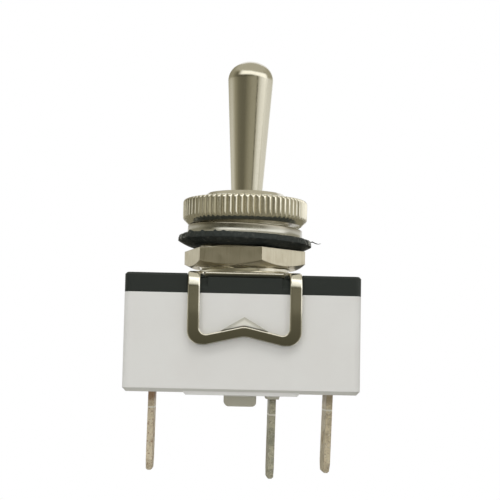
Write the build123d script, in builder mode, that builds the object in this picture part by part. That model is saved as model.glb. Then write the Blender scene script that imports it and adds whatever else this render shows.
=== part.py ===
"""Panel toggle switch: bat lever, threaded bushing, stirrup bracket and snap-in contact block.

Millimetres. z = 0 is the panel seat, the top face of the hex nut, and +Z runs up the bushing
axis to the lever's tip. X runs along the contact block, in the plane the lever swings in.
"""
from build123d import *

import os
from math import asin, cos, radians, sin, sqrt, tan

os.makedirs("parts", exist_ok=True)

# ---- driving dimensions ----

thread_r = 5.92             # M12 fine thread, over its crests
nut_bore_r = 5.95
hex_across_flats = 14.0
hex_height = 2.3
hex_turn = 15.5             # degrees about Z, as it was left when last tightened
bare_thread = 0.85          # thread between the bracket and the hex nut
sheet = 0.8                 # bracket and terminal sheet thickness

case_length = 29.5
case_depth = 15.5
case_height = 14.75         # base to the top of the cover
cover_height = 2.45
case_shift = -0.2           # the block sits this far to one side in its bracket
plate_proud = 0.35          # the bracket's plate stands this far above the cover
wall = 1.4
floor = 1.6

lever_swing = 12.0          # degrees each way from the centre position
rocker_ratio = 0.75         # rocker tilt for each degree of lever tilt
rocker_swing = lever_swing * rocker_ratio

tab_width = 6.3             # quick-connect blades
left_tab_x = -11.45
right_tab_x = 11.15
common_x = 3.95             # the common blade stands off centre
left_tab_lean = 0.6         # degrees to -X that each blade was bent in handling
common_tab_lean = 0.8
right_tab_lean = 1.5
outer_tab_drop = 9.95
common_tab_drop = 10.8

# ---- levels and radii that follow ----

plate_top = -hex_height - bare_thread
plate_bottom = plate_top - sheet
cover_top = plate_top - plate_proud
cover_bottom = cover_top - cover_height
base_z = cover_top - case_height
floor_top = base_z + floor
bushing_top = 7.45

pin_r = 0.8
lever_pivot_z = plate_top + pin_r

# ---- bushing: thread, staked spigot, and a mouth that opens to let the lever swing ----

bore_r = 4.0
mouth_r = 4.6
mouth_depth = 1.6
spigot_r = 4.7
lip_r = 5.3
lip_height = 0.5
pin_half_length = 5.3
thread_chamfer = 0.9

with BuildPart() as bushing:
    with BuildSketch(Plane.XZ):
        with BuildLine():
            Polyline(
                (bore_r, plate_bottom - lip_height),
                (lip_r, plate_bottom - lip_height),
                (lip_r, plate_bottom),
                (spigot_r, plate_bottom),
                (spigot_r, plate_top),
                (thread_r, plate_top),
                (thread_r, bushing_top - thread_chamfer),
                (thread_r - thread_chamfer, bushing_top),
                (mouth_r, bushing_top),
                (bore_r, bushing_top - mouth_depth),
                close=True,
            )
        make_face()
    revolve(axis=Axis.Z)
    # two slots let the pin in from below, until the bracket's plate closes them
    slot_bottom = plate_bottom - lip_height
    with BuildSketch(Plane.XZ):
        with Locations((0, (lever_pivot_z + slot_bottom) / 2)):
            Rectangle(2 * pin_r, lever_pivot_z - slot_bottom)
        with Locations((0, lever_pivot_z)):
            Circle(pin_r)
    extrude(amount=pin_half_length, both=True, mode=Mode.SUBTRACT)
bushing.part.label = "bushing"
export_step(bushing.part, "parts/bushing.step")

# ---- lever: a bat on a neck, with a collar where it hinges and a bored stem for the plunger ----

lever_top = 25.15
crown_r = 3.1               # the bat's round end
head_r = 2.98               # where the end meets the tapered side
taper = 3.6                 # degrees, each side of the bat
taper_foot = 6.4            # below this the neck is straight
collar_r = 3.85             # at full swing its rims still clear the bore
collar_half = 0.75
collar_slope = 1.6          # height of the cones above and below the collar
stem_r = 2.0
stem_length = 6.2           # below the hinge
stem_bore_r = 1.16
stem_bore_top = -1.5        # below the hinge, clear of the pin
pin_clearance = 0.04
rest_lean = 0.85            # degrees to +X, as its play lets the lever stand in the centre position
lean_clearance = 0.02       # the bore's end, which leans with it, stays clear of the spring

crown_z = lever_top - crown_r
shoulder_z = crown_z + sqrt(crown_r**2 - head_r**2)
crown_half_angle = asin(head_r / crown_r) / 2
crown_middle = (
    crown_r * sin(crown_half_angle),
    crown_z + crown_r * cos(crown_half_angle),
)
neck_r = head_r - (shoulder_z - taper_foot) * tan(radians(taper))
collar_top = lever_pivot_z + collar_half
collar_bottom = lever_pivot_z - collar_half
stem_end = lever_pivot_z - stem_length

with BuildPart() as lever:
    with BuildSketch(Plane.XZ):
        with BuildLine():
            Polyline(
                (0, lever_top),
                (0, stem_end),
                (stem_r, stem_end),
                (stem_r, collar_bottom - collar_slope),
                (collar_r, collar_bottom),
                (collar_r, collar_top),
                (neck_r, collar_top + collar_slope),
                (neck_r, taper_foot),
                (head_r, shoulder_z),
            )
            ThreePointArc((head_r, shoulder_z), crown_middle, (0, lever_top))
        make_face()
    revolve(axis=Axis.Z)
    with BuildSketch(Plane.XZ.offset(-collar_r)):
        with Locations((0, lever_pivot_z)):
            Circle(pin_r + pin_clearance)
    extrude(amount=2 * collar_r, mode=Mode.SUBTRACT)
    with BuildSketch(Plane.XY.offset(stem_end)):
        Circle(stem_bore_r)
    extrude(amount=stem_length + stem_bore_top + lean_clearance, mode=Mode.SUBTRACT)
resting_lever = lever.part.rotate(Axis((0, 0, lever_pivot_z), (0, 1, 0)), rest_lean)
resting_lever.label = "lever"
export_step(resting_lever, "parts/lever.step")

with BuildPart() as pivot_pin:
    with BuildSketch(Plane.XZ):
        with Locations((0, lever_pivot_z)):
            Circle(pin_r)
    extrude(amount=pin_half_length, both=True)
pivot_pin.part.label = "pivot_pin"
export_step(pivot_pin.part, "parts/pivot_pin.step")

# ---- plunger and spring: they press the rocker over centre ----

tip_r = 1.0
tip_reach = 7.8             # hinge to the centre of the plunger's round tip
plunger_length = 4.0
tip_z = lever_pivot_z - tip_reach
plunger_top = tip_z + plunger_length
spring_top = lever_pivot_z + stem_bore_top

with BuildPart() as plunger:
    with BuildSketch(Plane.XZ):
        with BuildLine():
            ThreePointArc(
                (0, tip_z - tip_r),
                (tip_r * sin(radians(45)), tip_z - tip_r * cos(radians(45))),
                (tip_r, tip_z),
            )
            Polyline(
                (tip_r, tip_z),
                (tip_r, plunger_top),
                (0, plunger_top),
                (0, tip_z - tip_r),
            )
        make_face()
    revolve(axis=Axis.Z)
plunger.part.label = "plunger"
export_step(plunger.part, "parts/plunger.step")

wire_r = 0.14
coil_r = 0.8
spring_turns = 3
spring_length = spring_top - plunger_top

with BuildPart() as plunger_spring:
    coil_height = spring_length - 2 * wire_r
    with BuildLine(Plane.XY.offset(plunger_top + wire_r)):
        coil = Helix(pitch=coil_height / spring_turns, height=coil_height, radius=coil_r)
    with BuildSketch(Plane(origin=coil @ 0, z_dir=coil % 0)):
        RegularPolygon(wire_r, 4)
    sweep(path=coil, is_frenet=True)
plunger_spring.part.label = "plunger_spring"
export_step(plunger_spring.part, "parts/plunger_spring.step")

# ---- rocker: its round trough keeps the same distance from the plunger at every tilt ----

tip_clearance = 0.06
trough_lift = 2.75          # rocker hinge to the tip's centre, with the plunger on the trough
rocker_pivot_z = tip_z - tip_clearance - trough_lift
tip_lead = tip_reach - trough_lift * rocker_ratio
trough_curve = (
    rocker_ratio * tip_reach + tip_reach / 2 - trough_lift * rocker_ratio**2 / 2
) / tip_lead**2
tip_path_r = 1 / (2 * trough_curve)
trough_r = tip_path_r + tip_r

rocker_width = 3.8
rocker_thickness = 0.8
rocker_reach = 9.6
boss_half = 2.6
boss_height = 2.45
saddle_r = 0.85
saddle_clearance = 0.05
contact_arm = 8.2

with BuildPart() as rocker:
    with BuildSketch(Plane.XZ):
        with BuildLine():
            Polyline(
                (-rocker_reach, rocker_pivot_z),
                (rocker_reach, rocker_pivot_z),
                (rocker_reach, rocker_pivot_z + rocker_thickness),
                (boss_half, rocker_pivot_z + rocker_thickness),
                (boss_half, rocker_pivot_z + boss_height),
                (-boss_half, rocker_pivot_z + boss_height),
                (-boss_half, rocker_pivot_z + rocker_thickness),
                (-rocker_reach, rocker_pivot_z + rocker_thickness),
                close=True,
            )
        make_face()
        with Locations((0, rocker_pivot_z + trough_lift + tip_path_r)):
            Circle(trough_r, mode=Mode.SUBTRACT)
        with Locations((0, rocker_pivot_z)):
            Circle(saddle_r + saddle_clearance, mode=Mode.SUBTRACT)
    extrude(amount=rocker_width / 2, both=True)
rocker.part.label = "rocker"
export_step(rocker.part, "parts/rocker.step")

# ---- contacts: domed buttons under the rocker, flat ones on the outer terminals ----

moving_head_r = 1.3
moving_head = 0.75
dome_r = 4.0
fixed_head_r = 1.4
closed_gap = 0.05
over_swing = radians(rocker_swing + 0.2)
terminal_top = floor_top + sheet
dome_centre = dome_r - moving_head
closed_z = rocker_pivot_z - contact_arm * sin(over_swing) + dome_centre * cos(over_swing) - dome_r
fixed_head = closed_z - closed_gap - terminal_top

for side, name in ((-1, "moving_contact_left"), (1, "moving_contact_right")):
    with BuildPart() as moving_contact:
        with BuildSketch(Plane.XY.offset(rocker_pivot_z - moving_head)):
            with Locations((side * contact_arm, 0)):
                Circle(moving_head_r)
        extrude(amount=moving_head)
        with Locations((side * contact_arm, 0, rocker_pivot_z + dome_centre)):
            Sphere(dome_r, mode=Mode.INTERSECT)
    moving_contact.part.label = name
    export_step(moving_contact.part, f"parts/{name}.step")

for side, name in ((-1, "fixed_contact_left"), (1, "fixed_contact_right")):
    with BuildPart() as fixed_contact:
        with BuildSketch(Plane.XY.offset(terminal_top)):
            with Locations((side * contact_arm, 0)):
                Circle(fixed_head_r)
        extrude(amount=fixed_head)
    fixed_contact.part.label = name
    export_step(fixed_contact.part, f"parts/{name}.step")

# ---- saddle: the ridge that the rocker tips on, welded to the common terminal ----

saddle_width = 3.0
saddle_foot = 2.8
saddle_foot_height = 0.5
saddle_neck = 1.4

with BuildPart() as rocker_saddle:
    with BuildSketch(Plane.XZ):
        with Locations((0, rocker_pivot_z)):
            Circle(saddle_r)
        with Locations((0, (rocker_pivot_z + terminal_top) / 2)):
            Rectangle(saddle_neck, rocker_pivot_z - terminal_top)
        with Locations((0, terminal_top + saddle_foot_height / 2)):
            Rectangle(saddle_foot, saddle_foot_height)
    extrude(amount=saddle_width / 2, both=True)
rocker_saddle.part.label = "rocker_saddle"
export_step(rocker_saddle.part, "parts/rocker_saddle.step")

# ---- terminals: blades through the base, each bent inwards over the floor ----

tab_hole_r = 0.85
tab_hole_drop = 5.6
tip_chamfer = 1.3
tip_bevel = 0.2
outer_foot_end = contact_arm - fixed_head_r - 0.3
common_foot_end = -saddle_foot / 2


def bent_terminal(blade_x, foot_end, drop, lean):
    """A blade at blade_x, with a foot along the floor to foot_end and a hole near its tip.

    Below the base the blade leans that many degrees towards -X.
    """
    outward = 1 if blade_x > foot_end else -1
    slant = tan(radians(lean))
    with BuildPart() as strip:
        with BuildSketch(Plane.XZ):
            with BuildLine():
                Polyline(
                    (blade_x - sheet / 2, terminal_top),
                    (blade_x + sheet / 2, terminal_top),
                    (blade_x + sheet / 2, base_z),
                    (blade_x + sheet / 2 - drop * slant, base_z - drop),
                    (blade_x - sheet / 2 - drop * slant, base_z - drop),
                    (blade_x - sheet / 2, base_z),
                    close=True,
                )
            make_face()
            with Locations(((blade_x + foot_end) / 2, floor_top + sheet / 2)):
                Rectangle(abs(blade_x - foot_end), sheet)
        extrude(amount=tab_width / 2, both=True)
        outer_bend = strip.edges().filter_by(Axis.Y).group_by(Axis.Z)[-1].sort_by(Axis.X)
        fillet(outer_bend[-1] if outward > 0 else outer_bend[0], sheet / 2)
        blade_tip = strip.faces().sort_by(Axis.Z)[0]
        chamfer(blade_tip.edges().filter_by(Axis.X), tip_chamfer)
        narrow_tip = strip.faces().sort_by(Axis.Z)[0]
        chamfer(narrow_tip.edges().filter_by(Axis.Y), tip_bevel)
        with BuildSketch(Plane.YZ.offset(blade_x - tab_hole_drop * slant - sheet)):
            with Locations((0, base_z - tab_hole_drop)):
                Circle(tab_hole_r)
        extrude(amount=2 * sheet, mode=Mode.SUBTRACT)
    return strip.part


left_terminal = bent_terminal(left_tab_x, -outer_foot_end, outer_tab_drop, left_tab_lean)
left_terminal.label = "left_terminal"
export_step(left_terminal, "parts/left_terminal.step")

right_terminal = bent_terminal(right_tab_x, outer_foot_end, outer_tab_drop, right_tab_lean)
right_terminal.label = "right_terminal"
export_step(right_terminal, "parts/right_terminal.step")

common_terminal = bent_terminal(common_x, common_foot_end, common_tab_drop, common_tab_lean)
common_terminal.label = "common_terminal"
export_step(common_terminal, "parts/common_terminal.step")

# ---- snap catch: a wedge on the housing's wall that the bracket's bar hooks under ----

bar_peak = base_z + 8.3     # top edge of the bar at its middle
bar_valley = base_z + 7.2   # top edge of the bar at its low points
bar_valley_x = 4.8
bar_height = 1.35
catch_half = 2.9
catch_apex = base_z + 9.4
catch_proud = 0.8
apex_proud = 0.25
catch_gap = 0.04
catch_foot = bar_peak + catch_gap
catch_end = catch_foot - catch_half * (bar_peak - bar_valley) / bar_valley_x
wall_y = case_depth / 2

with BuildPart() as catch:
    with BuildSketch(Plane.XZ.offset(wall_y - 0.5)):
        with BuildLine():
            Polyline(
                (0, catch_foot),
                (catch_half, catch_end),
                (0, catch_apex),
                (-catch_half, catch_end),
                close=True,
            )
        make_face()
    extrude(amount=0.5 + catch_proud)
    with BuildSketch(Plane.YZ):
        with BuildLine():
            Polyline(
                (-wall_y + 0.5, catch_apex),
                (-wall_y - apex_proud, catch_apex),
                (-wall_y - catch_proud, catch_foot),
                (-wall_y - catch_proud, catch_end),
                (-wall_y + 0.5, catch_end),
                close=True,
            )
        make_face()
    extrude(amount=catch_half, both=True, mode=Mode.INTERSECT)

# ---- housing: an open box with blade slots, base pad, key lug and the two catches ----

slot_clearance = 0.03
corner_r = 0.9
base_chamfer = 0.45
pad_length = 14.4
pad_drop = 0.3
lug_length = 4.1
lug_depth = 5.0
lug_drop = 1.75
collar_length = 1.9         # the funnel round the common blade
collar_foot = 1.4
collar_drop = 0.75

with BuildPart() as housing:
    with BuildSketch(Plane.XY.offset(base_z)):
        with Locations((case_shift, 0)):
            RectangleRounded(case_length, case_depth, corner_r)
    extrude(amount=cover_bottom - base_z)
    chamfer(housing.faces().sort_by(Axis.Z)[0].edges(), base_chamfer)
    with BuildSketch(Plane.XY.offset(floor_top)):
        with Locations((case_shift, 0)):
            RectangleRounded(case_length - 2 * wall, case_depth - 2 * wall, 0.5)
    extrude(amount=cover_bottom - floor_top, mode=Mode.SUBTRACT)
    with BuildSketch(Plane.XZ):
        with Locations((case_shift, base_z - pad_drop / 2 + floor / 4)):
            pad = Rectangle(pad_length, pad_drop + floor / 2)
        chamfer(pad.vertices().group_by(Axis.Y)[0], pad_drop)
    extrude(amount=case_depth / 2 - 0.3, both=True)
    with BuildSketch(Plane.XZ):
        with BuildLine():
            Polyline(
                (common_x - collar_length / 2, base_z),
                (common_x + collar_length / 2, base_z),
                (common_x + collar_foot / 2, base_z - collar_drop),
                (common_x - collar_foot / 2, base_z - collar_drop),
                close=True,
            )
        make_face()
    extrude(amount=tab_width / 2 + 0.6, both=True)
    with BuildSketch(Plane.XZ):
        with Locations((case_shift, base_z - lug_drop / 2)):
            lug = Rectangle(lug_length, lug_drop)
        fillet(lug.vertices().group_by(Axis.Y)[0], 0.6)
    extrude(amount=lug_depth / 2, both=True)
    with BuildSketch(Plane.XY.offset(floor_top)):
        with Locations((left_tab_x, 0), (common_x, 0), (right_tab_x, 0)):
            Rectangle(sheet + 2 * slot_clearance, tab_width + 2 * slot_clearance)
    extrude(amount=-(floor + collar_drop + 1), mode=Mode.SUBTRACT)
    add(catch.part)
    mirror(catch.part, about=Plane.XZ)
housing.part.label = "housing"
export_step(housing.part, "parts/housing.step")

# ---- cover: a cap with a lip into the housing, and a channel on top for the bracket's plate ----

lip_depth = 1.0
lip_clearance = 0.05
bracket_width = 14.3
channel_clearance = 0.05
rim_chamfer = 0.25
lip_hole_r = lip_r + 0.15
bend_outer_r = 2.1          # of the bracket's folds, which the cover leaves room for
bend_inner_r = bend_outer_r - sheet
leg_width = 1.6
window_half = bracket_width / 2 - leg_width
window_top_r = 0.85
relief_start = window_half - window_top_r - channel_clearance
fold_relief = bend_inner_r + channel_clearance
channel_half = bracket_width / 2 + channel_clearance

with BuildPart() as cover:
    with BuildSketch(Plane.XY.offset(cover_bottom)):
        with Locations((case_shift, 0)):
            RectangleRounded(case_length, case_depth, corner_r)
    extrude(amount=cover_height)
    chamfer(cover.faces().sort_by(Axis.Z)[-1].edges(), rim_chamfer)
    with BuildSketch(Plane.XY.offset(cover_bottom)):
        with Locations((case_shift, 0)):
            RectangleRounded(
                case_length - 2 * (wall + lip_clearance),
                case_depth - 2 * (wall + lip_clearance),
                0.45,
            )
    extrude(amount=-lip_depth)
    with BuildSketch(Plane.XY.offset(plate_bottom)):
        Rectangle(2 * channel_half, case_depth)
    extrude(amount=cover_height, mode=Mode.SUBTRACT)
    # under each leg's folds the channel's ends slope away
    for side in (-1, 1):
        with BuildSketch(Plane.YZ.offset(side * relief_start)):
            with BuildLine():
                Polyline(
                    (-wall_y - 1, plate_bottom - fold_relief - 1),
                    (-wall_y + fold_relief, plate_bottom),
                    (wall_y - fold_relief, plate_bottom),
                    (wall_y + 1, plate_bottom - fold_relief - 1),
                    (wall_y + 1, cover_top),
                    (-wall_y - 1, cover_top),
                    close=True,
                )
            make_face()
        extrude(amount=side * (channel_half - relief_start), mode=Mode.SUBTRACT)
    with BuildSketch(Plane.XY.offset(plate_bottom)):
        Circle(lip_hole_r)
    extrude(amount=-(cover_height + lip_depth), mode=Mode.SUBTRACT)
cover.part.label = "cover"
export_step(cover.part, "parts/cover.step")

# ---- bracket: one folded sheet, a plate and two windowed legs that grip the block ----

window_corner_r = 0.8
notch_edge = wall_y - bend_inner_r - 0.1    # just past the fold, so the plate's edge is flat
notch_depth = 4.0
spigot_clearance = 0.02
outer_corner_r = 1.7
valley_r = 2.5
peak_r = 2.0
leg_y = wall_y + sheet
bend_level = plate_bottom - bend_inner_r
bar_foot = bar_valley - bar_height
bar_slope = (bar_peak - bar_valley) / bar_valley_x

with BuildPart() as bracket:
    with BuildSketch(Plane.YZ):
        with Locations((0, (plate_top + bar_foot) / 2)):
            outside = Rectangle(2 * leg_y, plate_top - bar_foot)
        fillet(outside.vertices().group_by(Axis.Y)[-1], bend_outer_r)
        with BuildLine():
            inside = FilletPolyline(
                (-wall_y, bar_foot - 1),
                (-wall_y, plate_bottom),
                (wall_y, plate_bottom),
                (wall_y, bar_foot - 1),
                radius=bend_inner_r,
            )
            Line(inside @ 1, inside @ 0)
        make_face(mode=Mode.SUBTRACT)
    extrude(amount=bracket_width / 2, both=True)
    # the legs' outline: rounded outer corners, and a bar that rises to its middle
    with BuildSketch(Plane.XZ):
        with BuildLine():
            rim = FilletPolyline(
                (-bracket_width / 2, plate_top + 1),
                (-bracket_width / 2, bar_foot + 0.1),
                (-bar_valley_x, bar_foot),
                (0, bar_peak - bar_height),
                (bar_valley_x, bar_foot),
                (bracket_width / 2, bar_foot + 0.1),
                (bracket_width / 2, plate_top + 1),
                radius=[outer_corner_r, valley_r, peak_r, valley_r, outer_corner_r],
            )
            Line(rim @ 1, rim @ 0)
        make_face()
    extrude(amount=leg_y + 1, both=True, mode=Mode.INTERSECT)
    # a window in each leg, and a notch in the plate above it with rounded corners
    for facing in (-1, 1):
        with BuildSketch(Plane.XZ.offset(facing * wall_y)):
            with BuildLine():
                window = FilletPolyline(
                    (-window_half, bend_level),
                    (-window_half, bar_peak - bar_slope * window_half),
                    (0, bar_peak),
                    (window_half, bar_peak - bar_slope * window_half),
                    (window_half, bend_level),
                    radius=[window_corner_r, peak_r, window_corner_r],
                )
                Line(window @ 1, window @ 0)
            make_face()
        extrude(amount=facing * (sheet + 1), mode=Mode.SUBTRACT)
        with BuildSketch(Plane.XY.offset(bend_level - 0.5)):
            with Locations((0, facing * (notch_edge + notch_depth / 2))):
                RectangleRounded(2 * window_half, notch_depth, window_top_r)
        extrude(amount=plate_top - bend_level + 1, mode=Mode.SUBTRACT)
    with BuildSketch(Plane.XY.offset(plate_bottom)):
        Circle(spigot_r + spigot_clearance)
    extrude(amount=sheet, mode=Mode.SUBTRACT)
bracket.part.label = "bracket"
export_step(bracket.part, "parts/bracket.step")

# ---- hex nut: chamfered below, flat where it seats against the panel ----

chamfer_angle = 25
corner_radius = hex_across_flats / 2 / cos(radians(30))
nut_face_r = 6.75           # the flat ring left between the chamfer and the thread
nut_chamfer = (corner_radius - nut_face_r) * tan(radians(chamfer_angle))

with BuildPart() as hex_nut:
    with BuildSketch(Plane.XY.offset(-hex_height)):
        RegularPolygon(corner_radius, 6, rotation=-hex_turn)
    extrude(amount=hex_height)
    with BuildSketch(Plane.XZ):
        with BuildLine():
            Polyline(
                (nut_bore_r, -hex_height),
                (nut_face_r, -hex_height),
                (corner_radius, -hex_height + nut_chamfer),
                (corner_radius, 0),
                (nut_bore_r, 0),
                close=True,
            )
        make_face()
    revolve(axis=Axis.Z, mode=Mode.INTERSECT)
hex_nut.part.label = "hex_nut"
export_step(hex_nut.part, "parts/hex_nut.step")

# ---- sealing ring and washer: loose on the thread, lying a little askew ----


def askew(height, tilt):
    """A radial sketch plane at that height on the thread, its axis leaning tilt degrees to +X."""
    lean = radians(tilt)
    return Plane(
        origin=(0, 0, height),
        x_dir=(cos(lean), 0, -sin(lean)),
        z_dir=(0, -1, 0),
    )


seal_tilt = 1.9
seal_bore_r = 6.05
seal_foot_r = 6.9
seal_r = 8.7
seal_edge_z = 0.75          # above this its edge is blunt, below it slopes in
seal_height = 1.5
resting_gap = 0.02
seal_plane = askew(seal_foot_r * sin(radians(seal_tilt)) + resting_gap, seal_tilt)

with BuildPart() as sealing_ring:
    with BuildSketch(seal_plane):
        with BuildLine():
            Polyline(
                (seal_bore_r, 0),
                (seal_foot_r, 0),
                (seal_r, seal_edge_z),
                (seal_r, seal_height),
                (seal_bore_r, seal_height),
                close=True,
            )
        make_face()
    revolve(axis=Axis(seal_plane.origin, seal_plane.y_dir))
sealing_ring.part.label = "sealing_ring"
export_step(sealing_ring.part, "parts/sealing_ring.step")

washer_bore_r = 6.1
washer_r = 7.65
washer_top_r = 7.2          # its side slopes in
washer_height = 1.3
washer_plane = askew(seal_plane.origin.Z + seal_height + resting_gap, seal_tilt)

with BuildPart() as washer:
    with BuildSketch(washer_plane):
        with BuildLine():
            Polyline(
                (washer_bore_r, 0),
                (washer_r, 0),
                (washer_top_r, washer_height),
                (washer_bore_r, washer_height),
                close=True,
            )
        make_face()
    revolve(axis=Axis(washer_plane.origin, washer_plane.y_dir))
washer.part.label = "washer"
export_step(washer.part, "parts/washer.step")

# ---- knurled nut: straight serrations, drawn in towards both faces ----

knurled_r = 8.1             # over the crests
knurled_foot = 3.35
knurled_top = 6.64
foot_bevel_r = 7.35
foot_bevel_height = 0.75
top_bevel = 0.35
serrations = 68
root_to_crest = 0.965       # how far out the bottom of each groove lies


def serrated(crest_r, height):
    """The serrated outline at that height, with its crests at that radius."""
    with BuildSketch(Plane.XY.offset(height)) as outline:
        with BuildLine():
            corners = [
                Vector(crest_r * (1, root_to_crest)[step % 2], 0).rotate(Axis.Z, step * 180 / serrations)
                for step in range(2 * serrations)
            ]
            Polyline(*corners, close=True)
        make_face()
    return outline.sketch


with BuildPart() as knurled_nut:
    loft(
        sections=[
            serrated(foot_bevel_r, knurled_foot),
            serrated(knurled_r, knurled_foot + foot_bevel_height),
            serrated(knurled_r, knurled_top - top_bevel),
            serrated(knurled_r - top_bevel, knurled_top),
        ],
        ruled=True,
    )
    with BuildSketch(Plane.XY.offset(knurled_foot)):
        Circle(nut_bore_r)
    extrude(amount=knurled_top - knurled_foot, mode=Mode.SUBTRACT)
knurled_nut.part.label = "knurled_nut"
export_step(knurled_nut.part, "parts/knurled_nut.step")
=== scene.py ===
"""Looks for the panel toggle switch: turned metal, procedural materials, soft light and camera."""

from math import asin, cos, degrees, pi, radians, sin, sqrt, tan

import bmesh
import bpy
from mathutils import Matrix, Vector, noise


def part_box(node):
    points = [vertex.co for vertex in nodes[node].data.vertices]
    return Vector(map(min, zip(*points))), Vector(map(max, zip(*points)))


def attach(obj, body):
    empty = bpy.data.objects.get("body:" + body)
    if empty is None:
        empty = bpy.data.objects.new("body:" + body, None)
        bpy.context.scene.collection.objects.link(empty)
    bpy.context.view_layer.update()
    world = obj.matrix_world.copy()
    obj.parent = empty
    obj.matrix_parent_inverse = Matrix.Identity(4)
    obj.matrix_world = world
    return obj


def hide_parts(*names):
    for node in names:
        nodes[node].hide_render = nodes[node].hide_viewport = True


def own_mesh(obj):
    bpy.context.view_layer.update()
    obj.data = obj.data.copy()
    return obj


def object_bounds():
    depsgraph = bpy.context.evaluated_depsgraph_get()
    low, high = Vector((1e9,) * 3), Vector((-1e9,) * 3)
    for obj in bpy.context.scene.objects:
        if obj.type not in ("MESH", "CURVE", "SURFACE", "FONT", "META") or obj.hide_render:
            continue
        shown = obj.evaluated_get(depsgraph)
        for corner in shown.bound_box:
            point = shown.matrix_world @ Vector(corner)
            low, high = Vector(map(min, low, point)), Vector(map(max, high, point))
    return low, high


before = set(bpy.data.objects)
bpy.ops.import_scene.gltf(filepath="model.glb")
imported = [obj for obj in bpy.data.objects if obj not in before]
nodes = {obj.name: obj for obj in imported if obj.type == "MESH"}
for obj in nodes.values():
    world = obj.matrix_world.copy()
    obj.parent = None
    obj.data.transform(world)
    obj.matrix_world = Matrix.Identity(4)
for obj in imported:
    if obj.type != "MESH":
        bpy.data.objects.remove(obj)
cad_lo, cad_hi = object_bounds()

MM = 0.001


# ---- mesh helpers, in millimetres ----

def piece(name, verts, faces, body, slot, stands_for=(), sharp=35):
    """A shaded mesh piece that rides on a body and may stand for CAD nodes."""
    mesh = bpy.data.meshes.new(name)
    mesh.from_pydata([Vector(v) * MM for v in verts], [], faces)
    tidy = bmesh.new()
    tidy.from_mesh(mesh)
    bmesh.ops.recalc_face_normals(tidy, faces=tidy.faces)
    tidy.to_mesh(mesh)
    tidy.free()
    mesh.shade_smooth()
    mesh.set_sharp_from_angle(angle=radians(sharp))
    obj = bpy.data.objects.new(name, mesh)
    bpy.context.scene.collection.objects.link(obj)
    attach(obj, body)
    if stands_for:
        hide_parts(*stands_for)
    return obj


def turned(rows, segments):
    """A closed surface of revolution. Each row is (r, z), or a function of the angle that gives it."""
    verts, faces = [], []
    for row in rows:
        for step in range(segments):
            angle = 2 * pi * step / segments
            r, z = row(angle) if callable(row) else row
            verts.append((r * cos(angle), r * sin(angle), z))
    for level in range(len(rows)):
        below, above = level * segments, ((level + 1) % len(rows)) * segments
        for step in range(segments):
            beside = (step + 1) % segments
            faces.append((below + step, below + beside, above + beside, above + step))
    return verts, faces


def cut(obj, verts, faces):
    """Takes a closed form out of a piece."""
    mesh = bpy.data.meshes.new("cutter")
    mesh.from_pydata([Vector(v) * MM for v in verts], [], faces)
    cutter = bpy.data.objects.new("cutter", mesh)
    bpy.context.scene.collection.objects.link(cutter)
    step = obj.modifiers.new("cut", "BOOLEAN")
    step.operation = "DIFFERENCE"
    step.solver = "EXACT"
    step.object = cutter
    depsgraph = bpy.context.evaluated_depsgraph_get()
    shape = bpy.data.meshes.new_from_object(obj.evaluated_get(depsgraph))
    obj.modifiers.clear()
    obj.data = shape
    bpy.data.objects.remove(cutter)


def arc(centre_r, centre_z, radius, start, end, steps):
    """Points (r, z) along an arc between two angles in degrees."""
    return [
        (centre_r + radius * cos(radians(turn)), centre_z + radius * sin(radians(turn)))
        for turn in (start + (end - start) * step / steps for step in range(steps + 1))
    ]


# ---- levels read from the CAD frame, in millimetres ----

def levels(node):
    """A node's lowest and highest corner."""
    lo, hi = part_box(node)
    return lo / MM, hi / MM


lever_lo, lever_hi = levels("lever")
bushing_lo, bushing_hi = levels("bushing")
pin_lo, pin_hi = levels("pivot_pin")
seal_lo = levels("sealing_ring")[0]
cover_hi = levels("cover")[1]
plate_top = levels("bracket")[1].z
thread_r = bushing_hi.x
pivot_z = (pin_lo.z + pin_hi.z) / 2
pin_r = pin_hi.z - pivot_z
lug_drop = 1.75             # how far the key lug hangs below the base
base_z = levels("housing")[0].z + lug_drop
catch_height = 9.4
catch_apex = base_z + catch_height
catch_slope = 0.595         # fall of the catch's upper edges


def pin_way(radius, half_length, bottom):
    """The slot that lets the pivot pin in: round above the hinge, straight down to the bottom level."""
    outline = [*arc(0, pivot_z, radius, 0, 180, 24), (-radius, bottom), (radius, bottom)]
    count = len(outline)
    verts = [(x, y, z) for y in (-half_length, half_length) for x, z in outline]
    faces = [(i, (i + 1) % count, (i + 1) % count + count, i + count) for i in range(count)]
    faces += [tuple(range(count - 1, -1, -1)), tuple(range(count, 2 * count))]
    return verts, faces


# ---- bushing with its fine thread ----

pitch = 1.0
thread_depth = 0.42
thread_crest = 0.45         # share of the pitch that the crest takes
thread_root = 0.95          # and where its root begins
thread_run_out = 0.3        # height over which it fades in above the plate
thread_rows = 150
thread_segments = 128
bore_r = 4.0
mouth_r = 4.6
mouth_depth = 1.6
mouth_round = 0.06
thread_chamfer = 0.9
lip_r = 5.3
lip_height = 0.5
spigot_r = 4.7


def thread_row(z):
    """One height of the thread: a rounded profile that climbs one pitch a turn."""
    def at(angle):
        phase = (z / pitch - angle / (2 * pi)) % 1.0
        dip = min(1.0, max(0.0, (abs(phase - 0.5) * 2 - thread_crest) / (thread_root - thread_crest)))
        run_out = min(1.0, (z - plate_top) / thread_run_out)
        r = thread_r - thread_depth * dip * max(0.0, run_out)
        return min(r, thread_r - thread_chamfer + bushing_hi.z - z), z
    return at


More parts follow.
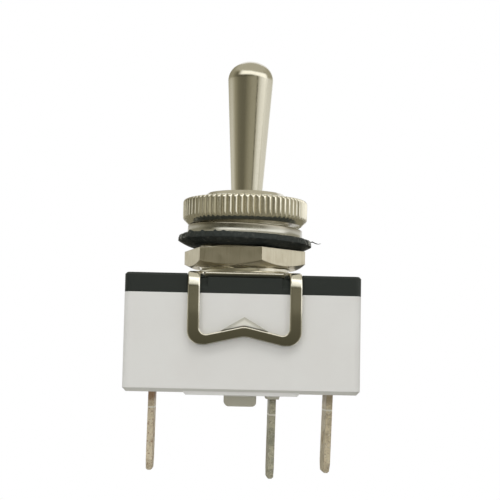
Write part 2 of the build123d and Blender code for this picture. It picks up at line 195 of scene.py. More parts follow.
rows = [
    (bore_r, bushing_lo.z), (lip_r, bushing_lo.z), (lip_r, bushing_lo.z + lip_height),
    (spigot_r, bushing_lo.z + lip_height), (spigot_r, plate_top),
]
for index in range(thread_rows + 1):
    rows.append(thread_row(plate_top + (bushing_hi.z - plate_top) * index / thread_rows))
rows += [
    (mouth_r + mouth_round, bushing_hi.z), (mouth_r, bushing_hi.z - mouth_round),
    (bore_r, bushing_hi.z - mouth_depth),
]
bushing = piece("threaded_bushing", *turned(rows, thread_segments), "base", "nickel", ("bushing",), 40)
cut(bushing, *pin_way(pin_r, pin_hi.y, bushing_lo.z - 1))


# ---- lever: the same bat, turned finely enough to mirror the room cleanly ----

head_r = 2.97               # where the round end meets the tapered side
shoulder_r = 2.3            # of the arc above it
crown_r = 3.5               # of the flatter arc on top
pole = 89.9                 # degrees; the crown stops just short of the axis
near_axis = 0.01
taper = 3.6                 # degrees, each side
taper_foot = 6.4            # height where the taper starts
side_rows = 24
lever_segments = 160
collar_r = 3.85
collar_half = 0.75
collar_slope = 1.6
stem_r = 2.0
stem_bore_r = 1.16
stem_bore_drop = 1.48
stem_bore_top = pivot_z - stem_bore_drop
pin_clearance = 0.04
rest_lean = 0.85            # degrees to +X, as its play lets the lever stand

shoulder_x = head_r - shoulder_r
crown_z = lever_hi.z - crown_r
shoulder_z = crown_z + sqrt((crown_r - shoulder_r) ** 2 - shoulder_x**2)
meeting = 90 - degrees(asin(shoulder_x / (crown_r - shoulder_r)))
bat_end = arc(shoulder_x, shoulder_z, shoulder_r, -taper, meeting, 24)
bat_end += arc(0, crown_z, crown_r, meeting, pole, 20)[1:]
side_r, side_z = bat_end[0]
neck_r = side_r - (side_z - taper_foot) * tan(radians(taper))
rows = [
    (near_axis, stem_bore_top), (stem_bore_r, stem_bore_top), (stem_bore_r, lever_lo.z),
    (stem_r, lever_lo.z), (stem_r, pivot_z - collar_half - collar_slope),
    (collar_r, pivot_z - collar_half), (collar_r, pivot_z + collar_half),
    (neck_r, pivot_z + collar_half + collar_slope),
]
for index in range(side_rows):
    along = index / side_rows
    rows.append((neck_r + (side_r - neck_r) * along, taper_foot + (side_z - taper_foot) * along))
rows += bat_end
verts, faces = turned(rows, lever_segments)
hinge = Vector((0, 0, pivot_z))
lean = Matrix.Rotation(radians(rest_lean), 3, "Y")
bat = piece(
    "bat_lever", [hinge + lean @ (Vector(v) - hinge) for v in verts], faces, "lever", "nickel",
    ("lever",), 40,
)
cut(bat, *pin_way(pin_r + pin_clearance, collar_r, pivot_z - pin_r))


# ---- plunger spring: a coil of round wire ----

wire_r = 0.14
coil_r = 0.8
spring_turns = 3
steps_a_turn = 32
wire_sides = 10
spring_lo, spring_hi = levels("plunger_spring")
spring_length = spring_hi.z - spring_lo.z

verts, faces = [], []
for step in range(spring_turns * steps_a_turn + 1):
    angle = 2 * pi * step / steps_a_turn
    rise = (spring_length - 2 * wire_r) * step / (spring_turns * steps_a_turn)
    for side in range(wire_sides):
        turn = 2 * pi * side / wire_sides
        r = coil_r + wire_r * cos(turn)
        verts.append((r * cos(angle), r * sin(angle), spring_lo.z + wire_r * (1 + sin(turn)) + rise))
for start in range(0, len(verts) - wire_sides, wire_sides):
    for side in range(wire_sides):
        beside = (side + 1) % wire_sides
        above = start + wire_sides
        faces.append((start + side, start + beside, above + beside, above + side))
faces += [tuple(range(wire_sides)), tuple(range(len(verts) - wire_sides, len(verts)))[::-1]]
coil = piece("coil_spring", verts, faces, "lever", "spring_steel", ("plunger_spring",), 60)
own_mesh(coil)


# ---- sealing ring: moulded rubber with a ragged parting edge and a wisp of flash ----

seal_tilt = 1.9
seal_bore_r = 6.05
seal_foot_r = 6.9
seal_r = 8.7
seal_edge_z = 0.75
seal_height = 1.5
seal_origin = Vector((0, 0, seal_lo.z + seal_foot_r * sin(radians(seal_tilt))))
crumb_side = Vector((-0.66, -0.75, 0))      # torn crumbs stand up on this side of the edge
crumb_reach = 0.9
crumb_height = 11.0
fine_grain = 26             # features round the ring: its roughness, its nibbles and its crumbs
nibble_grain = 9
crumb_grain = 16
fine_layers = 5
nibble_start = 0.12
edge_loss = 0.07
fine_depth = 0.1
nibble_depth = 0.5
flare_rows = 8
flare_curve = 1.35
rim_rows = 6
rim_bulge = 0.2
edge_rag = 0.35             # raggedness where the rim begins; it is 1 at the rim's top
top_round = 0.5
top_rag = 0.5
seal_segments = 360


def seal_row(r, z, rag):
    """One ring of the seal; rag says how far its edge is nibbled inwards."""
    def at(angle):
        around = Vector((cos(angle), sin(angle), 0))
        fine = noise.noise(around * fine_grain + Vector((0, 0, z * fine_layers)))
        nibble = max(0.0, noise.noise(around * nibble_grain + Vector((3, 1, z))) - nibble_start)
        on_side = max(0.0, around @ crumb_side - crumb_reach)
        crumb = max(0.0, noise.noise(around * crumb_grain)) * on_side
        loss = edge_loss + fine_depth * fine + nibble_depth * nibble
        return r - rag * loss, z + crumb_height * rag * crumb
    return at


rows = [seal_row(seal_bore_r, 0, 0), seal_row(seal_foot_r, 0, 0)]
for index in range(1, flare_rows + 1):
    along = index / flare_rows
    flare_r = seal_foot_r + (seal_r - seal_foot_r) * along
    rows.append(seal_row(flare_r, seal_edge_z * along**flare_curve, edge_rag * along))
for index in range(1, rim_rows + 1):
    along = index / rim_rows
    rim_z = seal_edge_z + (seal_height - seal_edge_z) * along
    rows.append(seal_row(seal_r - rim_bulge * along**3, rim_z, edge_rag + (1 - edge_rag) * along))
rows += [seal_row(seal_r - top_round, seal_height, top_rag), seal_row(seal_bore_r, seal_height, 0)]
verts, faces = turned(rows, seal_segments)
seal_lean = Matrix.Rotation(radians(seal_tilt), 3, "Y")
piece(
    "rubber_ring", [seal_origin + seal_lean @ Vector(v) for v in verts], faces, "base",
    "black_rubber", ("sealing_ring",), 50,
)

wisp_path = [
    (8.2, -1.6, 1.25), (8.7, -1.75, 1.35), (9.15, -1.8, 1.15), (9.5, -1.8, 1.1), (9.8, -1.8, 1.2),
]
wisp_root_r = 0.1
wisp_thinning = 0.75
wisp_sides = 6
verts, faces = [], []
for index, (x, y, z) in enumerate(wisp_path):
    wisp_r = wisp_root_r * (1 - wisp_thinning * index / (len(wisp_path) - 1))
    for side in range(wisp_sides):
        turn = 2 * pi * side / wisp_sides
        spot = Vector((x, y + wisp_r * cos(turn), z + wisp_r * sin(turn)))
        verts.append(seal_lean @ spot + seal_origin)
for index in range(len(wisp_path) - 1):
    for side in range(wisp_sides):
        first, beside = index * wisp_sides + side, index * wisp_sides + (side + 1) % wisp_sides
        faces.append((first, beside, beside + wisp_sides, first + wisp_sides))
faces += [tuple(range(wisp_sides))[::-1], tuple(range(len(verts) - wisp_sides, len(verts)))]
piece("seal_flash", verts, faces, "base", "black_rubber")


# ---- knurled nut: teeth with flat crests, rounded in at both ends ----

serrations = 68
tooth_steps = 8             # points along each tooth
tooth_depth = 0.26
crest_share = 0.28
root_share = 0.06
nut_bore_r = 5.95
nut_bore_chamfer = 0.25
nut_face_r = 7.3
knurled_r = 8.1
knurled_lo, knurled_hi = levels("knurled_nut")


def tooth_row(bevel_r, z):
    """One height of the knurl: flat crests, sloping flanks, narrow roots, cut off by the bevels."""
    def at(angle):
        from_crest = abs((angle * serrations / (2 * pi) + 0.5) % 1.0 - 0.5) * 2
        dip = min(1.0, max(0.0, (from_crest - crest_share) / (1 - crest_share - root_share)))
        return min(bevel_r, knurled_r - tooth_depth * dip), z
    return at


# radius and height up the nut's side, with a soft bevel at each end
knurl_side = [(7.35, 0), (7.62, 0.25), (7.84, 0.47), (7.95, 0.6), (8.04, 0.75), (knurled_r, 0.95)]
knurl_side += [(knurled_r, 2.86), (8.06, 3.03), (7.95, 3.18), (7.84, 3.25), (7.65, 3.29)]
rows = [(nut_bore_r, knurled_lo.z)]
rows += [tooth_row(r, knurled_lo.z + z) for r, z in knurl_side]
rows += [
    (nut_face_r, knurled_hi.z), (nut_bore_r + nut_bore_chamfer, knurled_hi.z),
    (nut_bore_r, knurled_hi.z - nut_bore_chamfer),
]
verts, faces = turned(rows, serrations * tooth_steps)
piece("knurled_ring", verts, faces, "base", "nickel", ("knurled_nut",), 30)


# ---- washer: its side flares a little to the rim ----

washer_bore_r = 6.1
washer_height = 1.3
washer_gap = 0.02           # above the seal that it lies on
washer_segments = 200
washer_origin = seal_origin + Vector((0, 0, seal_height + washer_gap))
washer_side = [
    (7.6, 0), (7.65, 0.06), (7.61, 0.14), (7.56, 0.24), (7.52, 0.35), (7.49, 0.47), (7.47, 0.6),
    (7.46, 0.8), (7.455, 1.12), (7.42, 1.24), (7.3, washer_height),
]
rows = [(washer_bore_r, 0), *washer_side, (washer_bore_r, washer_height)]
verts, faces = turned(rows, washer_segments)
piece(
    "turned_washer", [washer_origin + seal_lean @ Vector(v) for v in verts], faces, "base",
    "nickel", ("washer",), 50,
)


# ---- bracket: the rolled sheet's edges are rounded ----

sheet_round = 0.28
weld_reach = 0.001


def rounded(node, width):
    """Rounds a CAD node's sharp edges without touching its mesh."""
    obj = nodes[node]
    weld = obj.modifiers.new("weld", "WELD")
    weld.merge_threshold = weld_reach * MM
    flat = obj.modifiers.new("flat", "DECIMATE")
    flat.decimate_type = "DISSOLVE"
    flat.angle_limit = radians(0.5)
    soft = obj.modifiers.new("soft", "BEVEL")
    soft.width = width * MM
    soft.segments = 3
    soft.limit_method = "ANGLE"
    soft.angle_limit = radians(50)
    soft.harden_normals = False
    soft.use_clamp_overlap = False
    shade = obj.modifiers.new("shade", "WEIGHTED_NORMAL")
    shade.keep_sharp = False


rounded("bracket", sheet_round)


# ---- node material helpers ----

class Look:
    """A principled material with coordinates in millimetres and softened edges."""

    def __init__(self, name, colour, metallic=0.0, roughness=0.5, edge=0.06, **sockets):
        self.mat = bpy.data.materials.new(name)
        self.mat.use_nodes = True
        self.tree = self.mat.node_tree
        self.tree.nodes.clear()
        self.shader = self.add("BsdfPrincipled")
        out = self.add("OutputMaterial")
        self.tree.links.new(self.shader.outputs[0], out.inputs[0])
        self.shader.inputs["Base Color"].default_value = (*colour, 1)
        self.shader.inputs["Metallic"].default_value = metallic
        self.shader.inputs["Roughness"].default_value = roughness
        for socket, value in sockets.items():
            self.shader.inputs[socket.replace("_", " ")].default_value = value
        self.colour = colour
        spot = self.add("TexCoord").outputs["Object"]
        self.mm = self.add("VectorMath", {0: spot, 3: 1 / MM}, operation="SCALE").outputs[0]
        self.bevel = self.add("Bevel", {"Radius": edge * MM}, samples=6).outputs[0]
        self.normal = self.bevel

    def add(self, kind, inputs=None, **settings):
        node = self.tree.nodes.new("ShaderNode" + kind)
        for key, value in settings.items():
            setattr(node, key, value)
        for key, value in (inputs or {}).items():
            if isinstance(value, bpy.types.NodeSocket):
                self.tree.links.new(value, node.inputs[key])
            else:
                node.inputs[key].default_value = value
        return node

    def place(self):
        """The X, Y and Z of the spot, in millimetres."""
        return self.add("SeparateXYZ", {"Vector": self.mm}).outputs

    def facing(self):
        """The X, Y and Z of the true normal."""
        true_normal = self.add("NewGeometry").outputs["Normal"]
        return self.add("SeparateXYZ", {"Vector": true_normal}).outputs

    def stretched(self, x, y, z):
        """Coordinates that draw a grain out along the axes with the small numbers."""
        return self.add("Mapping", {"Vector": self.mm, "Scale": (x, y, z)}).outputs[0]

    def grain(self, scale, detail=3.0, rough=0.55, coords=None):
        """Noise whose scale is features per millimetre."""
        return self.add(
            "TexNoise",
            {"Vector": coords or self.mm, "Scale": scale, "Detail": detail, "Roughness": rough},
        ).outputs[0]

    def ramp(self, value, low, high, to_low=0.0, to_high=1.0):
        """Runs smoothly from to_low to to_high as value goes from low to high."""
        return self.add(
            "MapRange",
            {"Value": value, "From Min": low, "From Max": high, "To Min": to_low, "To Max": to_high},
            interpolation_type="SMOOTHSTEP",
        ).outputs[0]

    def math(self, operation, a, b=0.0):
        return self.add("Math", {0: a, 1: b}, operation=operation).outputs[0]

    def tint(self, factor, other):
        """The base colour moves towards another colour where factor is high."""
        socket = self.shader.inputs["Base Color"]
        mix = self.add("Mix", data_type="RGBA")
        self.tree.links.new(factor, mix.inputs["Factor"])
        if socket.is_linked:
            self.tree.links.new(socket.links[0].from_socket, mix.inputs["A"])
        else:
            mix.inputs["A"].default_value = (*self.colour, 1)
        mix.inputs["B"].default_value = (*other, 1)
        self.tree.links.new(mix.outputs["Result"], socket)

    def roughness(self, value, low, high):
        """Roughness runs from low to high as value goes from 0 to 1."""
        self.tree.links.new(self.ramp(value, 0.3, 0.7, low, high), self.shader.inputs["Roughness"])

    def bump(self, height, depth):
        """Height 0 to 1 raises the surface by depth millimetres."""
        self.normal = self.add(
            "Bump",
            {"Height": height, "Strength": 1.0, "Distance": depth * MM, "Normal": self.normal},
        ).outputs[0]
        self.tree.links.new(self.normal, self.shader.inputs["Normal"])

    def lean(self, amount):
        """Tips the surface's normal down or up, for sheet that isn't quite upright."""
        upwards = self.add("CombineXYZ", {"Z": amount}).outputs[0]
        tipped = self.add("VectorMath", {0: self.normal, 1: upwards}, operation="ADD").outputs[0]
        self.normal = self.add("VectorMath", {0: tipped}, operation="NORMALIZE").outputs[0]

    def edges(self):
        """1 on a worn edge, 0 on flat ground, found where the softened normal leaves the true one."""
        true_normal = self.add("NewGeometry").outputs["Normal"]
        both = {0: self.bevel, 1: true_normal}
        along = self.add("VectorMath", both, operation="DOT_PRODUCT").outputs["Value"]
        return self.ramp(along, 0.995, 0.86)

    def wear(self, node_names):
        """Puts the material on these pieces or CAD nodes."""
        for name in node_names:
            obj = nodes[name] if name in nodes else bpy.data.objects[name]
            if not obj.data.materials:
                obj.data.materials.append(self.mat)
            for index in range(len(obj.material_slots)):
                obj.material_slots[index].link = "OBJECT"
                obj.material_slots[index].material = self.mat


# ---- materials ----

lever_metal = Look("lever_nickel", (0.72, 0.69, 0.60), 1.0, 0.13)
streaks = lever_metal.grain(1.0, 4.0, 0.6, lever_metal.stretched(9, 9, 0.35))
pits = lever_metal.grain(2.6, 6.0, 0.65)
lever_metal.tint(lever_metal.ramp(pits, 0.5, 0.8, 0.0, 0.3), (0.55, 0.51, 0.40))
lever_metal.roughness(streaks, 0.10, 0.20)
lever_metal.bump(streaks, 0.004)
lever_metal.bump(pits, 0.0025)
lever_metal.wear(["bat_lever"])

turned_metal = Look("turned_nickel", (0.78, 0.75, 0.66), 1.0, 0.24, edge=0.07)
rings = turned_metal.grain(1.0, 3.0, 0.5, turned_metal.stretched(0.6, 0.6, 14))
mottle = turned_metal.grain(1.1, 5.0, 0.6)
turned_metal.tint(turned_metal.ramp(mottle, 0.45, 0.75, 0.0, 0.4), (0.58, 0.53, 0.42))
turned_metal.roughness(mottle, 0.13, 0.22)
turned_metal.bump(rings, 0.0012)
turned_metal.bump(mottle, 0.0015)
turned_metal.wear(["threaded_bushing", "pivot_pin"])

knurl_metal = Look("knurled_nickel", (0.97, 0.93, 0.82), 1.0, 0.16, edge=0.13)
knurl_cloud = knurl_metal.grain(0.9, 4.0, 0.6)
knurl_grit = knurl_metal.grain(5.0, 3.0, 0.6)
# painted shade darkens the roots between the teeth
knurl_place = knurl_metal.place()
turn = knurl_metal.math("ARCTAN2", knurl_place["Y"], knurl_place["X"])
tooth = knurl_metal.math("FRACT", knurl_metal.math("MULTIPLY", turn, serrations / (2 * pi)))
from_root = knurl_metal.math("ABSOLUTE", knurl_metal.math("SUBTRACT", tooth, 0.5))
knurl_metal.tint(knurl_metal.ramp(knurl_cloud, 0.5, 0.8, 0.0, 0.3), (0.80, 0.75, 0.62))
knurl_metal.tint(knurl_metal.ramp(from_root, 0.02, 0.08, 0.45, 0.0), (0.24, 0.22, 0.16))
knurl_metal.roughness(knurl_grit, 0.12, 0.2)
knurl_metal.bump(knurl_cloud, 0.002)
knurl_metal.wear(["knurled_ring"])

nut_metal = Look("drawn_nickel", (0.76, 0.71, 0.59), 1.0, 0.34, edge=0.12)
drawn = nut_metal.grain(1.0, 3.0, 0.5, nut_metal.stretched(7, 7, 0.4))
nut_cloud = nut_metal.grain(0.8, 5.0, 0.6)
nut_metal.tint(nut_metal.ramp(nut_cloud, 0.45, 0.75, 0.0, 0.3), (0.66, 0.58, 0.45))
nut_metal.tint(nut_metal.ramp(drawn, 0.5, 0.7, 0.0, 0.35), (0.52, 0.46, 0.34))
nut_metal.roughness(nut_cloud, 0.28, 0.4)
nut_metal.bump(drawn, 0.003)
nut_metal.bump(nut_cloud, 0.003)
nut_metal.wear(["hex_nut"])

sheet_metal = Look("plated_sheet", (0.41, 0.395, 0.335), 1.0, 0.2, edge=0.1)
rolled = sheet_metal.grain(1.0, 4.0, 0.6, sheet_metal.stretched(5, 5, 0.5))
cloud = sheet_metal.grain(0.9, 5.0, 0.6)
sheet_metal.tint(sheet_metal.ramp(cloud, 0.45, 0.75, 0.0, 0.3), (0.36, 0.34, 0.27))
# painted shade darkens the legs towards the bar, and a painted highlight brightens rims and folds that
# face sideways or up
leg_height = sheet_metal.place()["Z"]
shaded_lower_leg = sheet_metal.ramp(leg_height, plate_top - 10, plate_top - 6, 0.6, 0.0)
sheet_metal.tint(shaded_lower_leg, (0.24, 0.23, 0.185))
# the painted highlight follows how far the sheet faces sideways or up
sheet_facing = sheet_metal.facing()
sideways = sheet_metal.math("ABSOLUTE", sheet_facing["X"])
highlight_facing = sheet_metal.math("MAXIMUM", sideways, sheet_facing["Z"])
sheet_metal.tint(sheet_metal.ramp(highlight_facing, 0.05, 0.5), (0.95, 0.92, 0.84))
sheet_metal.roughness(cloud, 0.14, 0.22)
# the shading normal tips down a little on the legs and more on the folds' shoulders, for legs that bow
# a little and shoulders flatter than an arc
leg_bow = sheet_metal.ramp(leg_height, plate_top - 9, plate_top - 2, -0.17, 0.05)
shoulder = sheet_metal.ramp(leg_height, plate_top - 1.8, plate_top - 1.05, 0.0, -0.28)
sheet_metal.lean(sheet_metal.math("ADD", leg_bow, shoulder))
sheet_metal.bump(rolled, 0.002)
sheet_metal.bump(cloud, 0.0015)
sheet_metal.wear(["bracket"])

washer_metal = Look("washer_metal", (0.56, 0.55, 0.51), 1.0, 0.22, edge=0.04)
washer_grain = washer_metal.grain(1.0, 4.0, 0.6)
washer_lines = washer_metal.grain(1.0, 3.0, 0.5, washer_metal.stretched(0.8, 0.8, 9))
washer_metal.tint(washer_metal.ramp(washer_grain, 0.5, 0.8, 0.0, 0.4), (0.50, 0.48, 0.42))
# painted shade lies under the knurled nut, along the tilted washer's top
washer_place = washer_metal.place()
washer_slope = washer_metal.math("MULTIPLY", washer_place["X"], tan(radians(seal_tilt)))
washer_level = washer_metal.math("ADD", washer_place["Z"], washer_slope)
washer_top = washer_origin.z + washer_height
nut_shade = washer_metal.ramp(washer_level, washer_top - 0.75, washer_top - 0.1, 0.0, 0.75)
washer_metal.tint(nut_shade, (0.28, 0.25, 0.19))
washer_metal.roughness(washer_grain, 0.16, 0.28)
washer_metal.bump(washer_lines, 0.002)
washer_metal.bump(washer_grain, 0.002)
washer_metal.wear(["turned_washer"])


def tab_look(name, node, metal, shade, glint_drop, root):
    """A plated blade: dull tan faces, a painted highlight line across it, and a stained root."""
    look = Look(name, metal, 0.45, 0.42, edge=0.12)
    cloud = look.grain(1.1, 6.0, 0.65)
    lines = look.grain(1.0, 3.0, 0.6, look.stretched(8, 8, 0.6))
    drop = look.place()["Z"]
    look.tint(look.ramp(cloud, 0.46, 0.62, 0.0, 0.8), shade)
    look.tint(look.ramp(look.grain(3.2, 5.0, 0.7), 0.53, 0.6, 0.0, 0.7), root)
    look.tint(look.ramp(look.grain(2.2, 5.0, 0.7), 0.56, 0.62, 0.0, 0.6), (0.93, 0.88, 0.76))
    look.tint(look.math("MULTIPLY", look.edges(), look.ramp(lines, 0.45, 0.6)), root)
    look.tint(look.ramp(drop, base_z - 1.6, base_z - 0.6, 0.0, 0.75), root)
    # a painted highlight line across the blade, at the given drop below the base
    from_glint = look.math("ABSOLUTE", look.math("ADD", drop, glint_drop - base_z))
    look.tint(look.ramp(from_glint, 0.06, 0.14, 0.9, 0.0), (0.95, 0.92, 0.84))
    look.roughness(cloud, 0.32, 0.55)
    look.bump(lines, 0.006)
    look.bump(cloud, 0.02)
    look.wear([node])


tab_look(
    "left_tab", "left_terminal",
    metal=(0.84, 0.74, 0.56), shade=(0.55, 0.46, 0.32), glint_drop=2.0, root=(0.34, 0.18, 0.10),
)
tab_look(
    "right_tab", "right_terminal",
    metal=(0.76, 0.67, 0.49), shade=(0.50, 0.42, 0.28), glint_drop=2.0, root=(0.38, 0.30, 0.20),
)
tab_look(
    "middle_tab", "common_terminal",
    metal=(0.56, 0.54, 0.41), shade=(0.24, 0.25, 0.19), glint_drop=2.7, root=(0.24, 0.22, 0.16),
)

rubber = Look("black_rubber", (0.019, 0.024, 0.022), 0.0, 0.5, edge=0.1, Specular_IOR_Level=0.35)
rubber_skin = rubber.grain(4.0, 5.0, 0.6)
rubber_dust = rubber.grain(1.6, 6.0, 0.7)
rubber.tint(rubber.ramp(rubber_dust, 0.54, 0.72, 0.0, 0.5), (0.14, 0.14, 0.12))
# pale specks at the two ends that show from the front
rubber_end = rubber.ramp(rubber.math("ABSOLUTE", rubber.place()["X"]), 7.0, 8.6)
rubber_specks = rubber.ramp(rubber.grain(2.2, 5.0, 0.7), 0.5, 0.6, 0.0, 0.8)
rubber.tint(rubber.math("MULTIPLY", rubber_end, rubber_specks), (0.42, 0.42, 0.37))
rubber.roughness(rubber_skin, 0.4, 0.65)
rubber.bump(rubber_skin, 0.03)
rubber.wear(["rubber_ring", "seal_flash"])

case = Look("white_plastic", (0.71, 0.705, 0.67), 0.0, 0.5, edge=0.18, Specular_IOR_Level=0.35)
case_skin = case.grain(9.0, 3.0, 0.6)
case_flow = case.grain(0.14, 3.0, 0.5)
case_spots = case.grain(1.7, 6.0, 0.7)
case_place = case.place()
away_from_wall = case.math("ABSOLUTE", case_place["Y"])
catch_from = cover_hi.y + 0.04
catch_to = cover_hi.y + 0.2
case.tint(case.ramp(case_flow, 0.35, 0.7, 0.0, 0.6), (0.68, 0.665, 0.63))
case.tint(case.ramp(case_spots, 0.68, 0.8, 0.0, 0.25), (0.52, 0.49, 0.43))
case.tint(case.ramp(away_from_wall, catch_from, catch_to, 0.0, 0.8), (0.60, 0.585, 0.50))
# painted shadow: a dark line follows the catch's upper edges
on_catch = case.ramp(away_from_wall, catch_from, catch_to)
edge_fall = case.math("MULTIPLY", case.math("ABSOLUTE", case_place["X"]), catch_slope)
up_to_edge = case.math("ADD", case_place["Z"], edge_fall)
edge_shadow = case.ramp(up_to_edge, catch_apex - 0.55, catch_apex - 0.15, 0.0, 0.8)
case.tint(case.math("MULTIPLY", on_catch, edge_shadow), (0.36, 0.345, 0.28))
# painted shade darkens the faces that look down, and the key lug
underside_shade = case.ramp(case.facing()["Z"], -0.3, -0.9, 0.0, 0.6)
off_catch = case.math("SUBTRACT", 1.0, on_catch)
case.tint(case.math("MULTIPLY", underside_shade, off_catch), (0.36, 0.35, 0.28))
# painted shade on the key lug, set back under the base
lug_shade = case.ramp(case_place["Z"], base_z - 0.6, base_z - 0.25, 0.9, 0.0)
case.tint(lug_shade, (0.50, 0.48, 0.375))
case.roughness(case_skin, 0.42, 0.6)
case.bump(case_skin, 0.008)
case.bump(case_flow, 0.05)
case.wear(["housing"])

lid = Look("black_plastic", (0.020, 0.025, 0.022), 0.0, 0.42, edge=0.12, Specular_IOR_Level=0.35)
lid_skin = lid.grain(8.0, 3.0, 0.6)
lid_dust = lid.grain(1.9, 7.0, 0.75)
lid.tint(lid.ramp(lid_dust, 0.6, 0.8, 0.0, 0.4), (0.09, 0.09, 0.085))
lid.roughness(lid_skin, 0.36, 0.55)
lid.bump(lid_skin, 0.008)
lid.wear(["cover"])


def even_grain(look, scale, share, shade, gloss, depth, node_names):
    """One grain in the colour, the gloss and the surface, for the pieces inside the block."""
    grain = look.grain(scale, 4.0, 0.6)
    look.tint(look.ramp(grain, 0.5, 0.8, 0.0, share), shade)
    look.roughness(grain, *gloss)
    look.bump(grain, depth)
    look.wear(node_names)


nylon = Look("nylon", (0.62, 0.60, 0.54), 0.0, 0.45)
even_grain(nylon, 3.0, 0.4, (0.52, 0.49, 0.42), (0.35, 0.55), 0.01, ["plunger"])

spring_steel = Look("spring_steel", (0.55, 0.55, 0.55), 1.0, 0.3)
even_grain(spring_steel, 3.0, 0.4, (0.36, 0.35, 0.33), (0.22, 0.4), 0.004, ["coil_spring"])

brass = Look("contact_brass", (0.80, 0.58, 0.28), 1.0, 0.32)
even_grain(brass, 2.5, 0.5, (0.56, 0.36, 0.17), (0.25, 0.42), 0.005, ["rocker", "rocker_saddle"])

silver = Look("contact_silver", (0.82, 0.81, 0.78), 1.0, 0.28)
contacts = ["moving_contact_left", "moving_contact_right", "fixed_contact_left", "fixed_contact_right"]
even_grain(silver, 2.5, 0.5, (0.58, 0.56, 0.52), (0.2, 0.4), 0.005, contacts)


# ---- studio: white background, floor, room that the metal mirrors, and soft lamps ----

class Graph(Look):
    """Node helpers over a bare tree, for the world and the stage."""

    def __init__(self, tree):
        self.tree = tree
        tree.nodes.clear()


def seen_directly(graph):
    """1 for camera, glossy and transmission rays."""
    path = graph.add("LightPath").outputs
    mirrored = graph.math("MAXIMUM", path["Is Glossy Ray"], path["Is Transmission Ray"])
    return graph.math("MAXIMUM", path["Is Camera Ray"], mirrored)


ambient_level = 0.55
floor_drop = 13             # millimetres below the blades' tips
floor_radius = 1.6          # metres, as are the next two
shade_ends = 0.025          # the floor keeps the object's shade out to here
white_from = 0.085          # and is plain white from here on

world = bpy.data.worlds.new("studio")
bpy.context.scene.world = world
world.use_nodes = True
sky = Graph(world.node_tree)
ambient = sky.add("Background", {"Color": (1, 1, 1, 1), "Strength": ambient_level})
backdrop = sky.add("Background", {"Color": (1, 1, 1, 1), "Strength": 1.0})
both = sky.add("MixShader", {0: seen_directly(sky), 1: ambient.outputs[0], 2: backdrop.outputs[0]})
sky.add("OutputWorld", {"Surface": both.outputs[0]})

mesh = bpy.data.meshes.new("floor")
floor = bpy.data.objects.new("floor", mesh)
disc = bmesh.new()
bmesh.ops.create_circle(disc, cap_ends=True, segments=96, radius=floor_radius)
disc.to_mesh(mesh)
disc.free()
floor.location.z = cad_lo.z - floor_drop * MM
bpy.context.scene.collection.objects.link(floor)
mat = bpy.data.materials.new("floor")
mat.use_nodes = True
ground = Graph(mat.node_tree)
paint = ground.add("BsdfDiffuse", {"Color": (0.8, 0.8, 0.8, 1)})
white = ground.add("Emission", {"Color": (1, 1, 1, 1), "Strength": 1.0})
place = ground.add("TexCoord").outputs["Object"]
away = ground.add("VectorMath", {0: place}, operation="LENGTH").outputs["Value"]
share = ground.math("MULTIPLY", ground.ramp(away, shade_ends, white_from), seen_directly(ground))
both = ground.add("MixShader", {0: share, 1: paint.outputs[0], 2: white.outputs[0]})
ground.add("OutputMaterial", {"Surface": both.outputs[0]})
mesh.materials.append(mat)


def between(table, value):
    """Straight lines between the (value, level) pairs of a table."""
    for (a, low), (b, high) in zip(table, table[1:]):
        if a <= value <= b:
            return low + (high - low) * (value - a) / (b - a)
    return table[0][1] if value < table[0][0] else table[-1][1]


# azimuth from the camera's side, turning to the right, and how light the room is there
round_the_room = [
    (-165, 0.62), (-150, 0.66), (-114, 0.73), (-87, 0.36), (-65, 0.20), (-46, 0.16), (-28, 0.16),
    (-11, 0.26), (6, 0.36), (23, 0.38), (31, 0.36), (33, 0.1), (36, 0.1), (38, 0.5), (42, 0.62),
    (59, 0.95), (80, 1.0), (84, 0.66), (87, 0.66), (92, 0.85), (150, 0.8),
]
# elevation, and the share of that level left there
up_the_wall = [(-4, 0.9), (2, 1.0), (9, 1.0), (17, 0.5), (90, 0.5)]
overhead = 0.52
window_level = 1.4
table_level = 0.2
room_radius = 0.7           # metres


def smooth(low, high, value):
    """0 up to low, 1 from high on, and a soft run between."""
    share = min(1.0, max(0.0, (value - low) / (high - low)))
    return share * share * (3 - 2 * share)


def room_level(azimuth, elevation):
    """The wall by azimuth, an even ceiling, and a long window high up that droops to the right."""
    wall = between(round_the_room, azimuth) * between(up_the_wall, elevation)
    level = wall + (overhead - wall) * smooth(36, 52, elevation)
    middle = 38 - 0.21 * max(0.0, azimuth)
    along = smooth(-80, -45, azimuth) * (1 - smooth(80, 100, azimuth))
    across = 1 - smooth(7, 17, abs(elevation - middle))
    return level + (window_level - level) * along * across


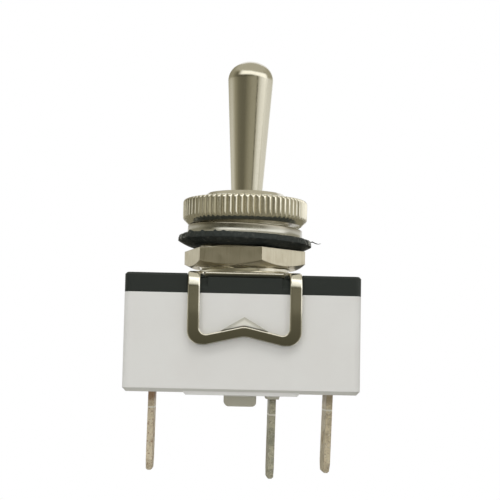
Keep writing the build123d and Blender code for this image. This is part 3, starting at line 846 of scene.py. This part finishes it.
def card(name, azimuths, elevations, radius, level):
    """A curved card round the object that only mirrors see, olive where it is dark."""
    verts, faces, shades = [], [], []
    for elevation in elevations:
        for azimuth in azimuths:
            a, e = radians(azimuth), radians(elevation)
            verts.append(Vector((sin(a) * cos(e), -cos(a) * cos(e), sin(e))) * radius)
            light = level(azimuth, elevation)
            pale = smooth(0.15, 0.9, light)
            shades.append((light, light * (0.935 + 0.055 * pale), light * (0.66 + 0.26 * pale), 1))
    width = len(azimuths)
    for row in range(len(elevations) - 1):
        for column in range(width - 1):
            corner = row * width + column
            faces.append((corner, corner + 1, corner + width + 1, corner + width))
    mesh = bpy.data.meshes.new(name)
    mesh.from_pydata(verts, [], faces)
    shade = mesh.attributes.new("light", "FLOAT_COLOR", "POINT")
    for index, value in enumerate(shades):
        shade.data[index].color = value
    obj = bpy.data.objects.new(name, mesh)
    bpy.context.scene.collection.objects.link(obj)
    obj.visible_camera = obj.visible_diffuse = obj.visible_shadow = obj.visible_transmission = False
    mat = bpy.data.materials.new(name)
    mat.use_nodes = True
    graph = Graph(mat.node_tree)
    light = graph.add("Attribute", attribute_name="light").outputs["Color"]
    glow = graph.add("Emission", {"Color": light, "Strength": 1.0})
    graph.add("OutputMaterial", {"Surface": glow.outputs[0]})
    mesh.materials.append(mat)
    return obj


card("room", range(-165, 151, 1), range(-4, 91, 2), room_radius, room_level)
card(
    "ceiling", range(150, 196, 5), range(50, 91, 4), room_radius,
    lambda azimuth, elevation: overhead,
)
table = card(
    "table", range(-180, 181, 12), (-90, -4), room_radius,
    lambda azimuth, elevation: table_level,
)
for vert in table.data.vertices:
    vert.co.z = floor.location.z + 1 * MM


def lamp(name, azimuth, elevation, distance, width, height, power):
    """A soft rectangular lamp that lights the object but isn't mirrored in it."""
    a, e = radians(azimuth), radians(elevation)
    data = bpy.data.lights.new(name, "AREA")
    data.shape = "RECTANGLE"
    data.size = width
    data.size_y = height
    data.energy = power
    obj = bpy.data.objects.new(name, data)
    bpy.context.scene.collection.objects.link(obj)
    obj.location = Vector((sin(a) * cos(e), -cos(a) * cos(e), sin(e))) * distance
    obj.rotation_mode = "QUATERNION"
    obj.rotation_quaternion = obj.location.to_track_quat("Z", "Y")
    obj.visible_glossy = False


lamp("key", azimuth=10, elevation=62, distance=0.6, width=0.6, height=0.2, power=1.5)
lamp("fill", azimuth=-25, elevation=20, distance=0.6, width=0.7, height=0.7, power=0.8)


# ---- camera ----

camera = bpy.data.cameras.new("camera")
camera.sensor_width = 36
camera.lens = 97.2
eye = bpy.data.objects.new("camera", camera)
bpy.context.scene.collection.objects.link(eye)
yaw, pitch_up, roll = radians(-1.6683), radians(5.2922), radians(1.1923)
right = Vector((cos(yaw), sin(yaw), 0))
ahead = Vector((-sin(yaw) * cos(pitch_up), cos(yaw) * cos(pitch_up), sin(pitch_up)))
up = right.cross(ahead)
rolled_right = right * cos(roll) + up * sin(roll)
rolled_up = up * cos(roll) - right * sin(roll)
eye.rotation_mode = "QUATERNION"
eye.rotation_quaternion = Matrix((rolled_right, rolled_up, -ahead)).transposed().to_quaternion()
eye.location = Vector((-4.3666, -175.1568, -15.9841)) * MM
camera.clip_start = 0.01
camera.clip_end = 10
bpy.context.scene.camera = eye
bpy.context.scene.view_settings.view_transform = "Standard"
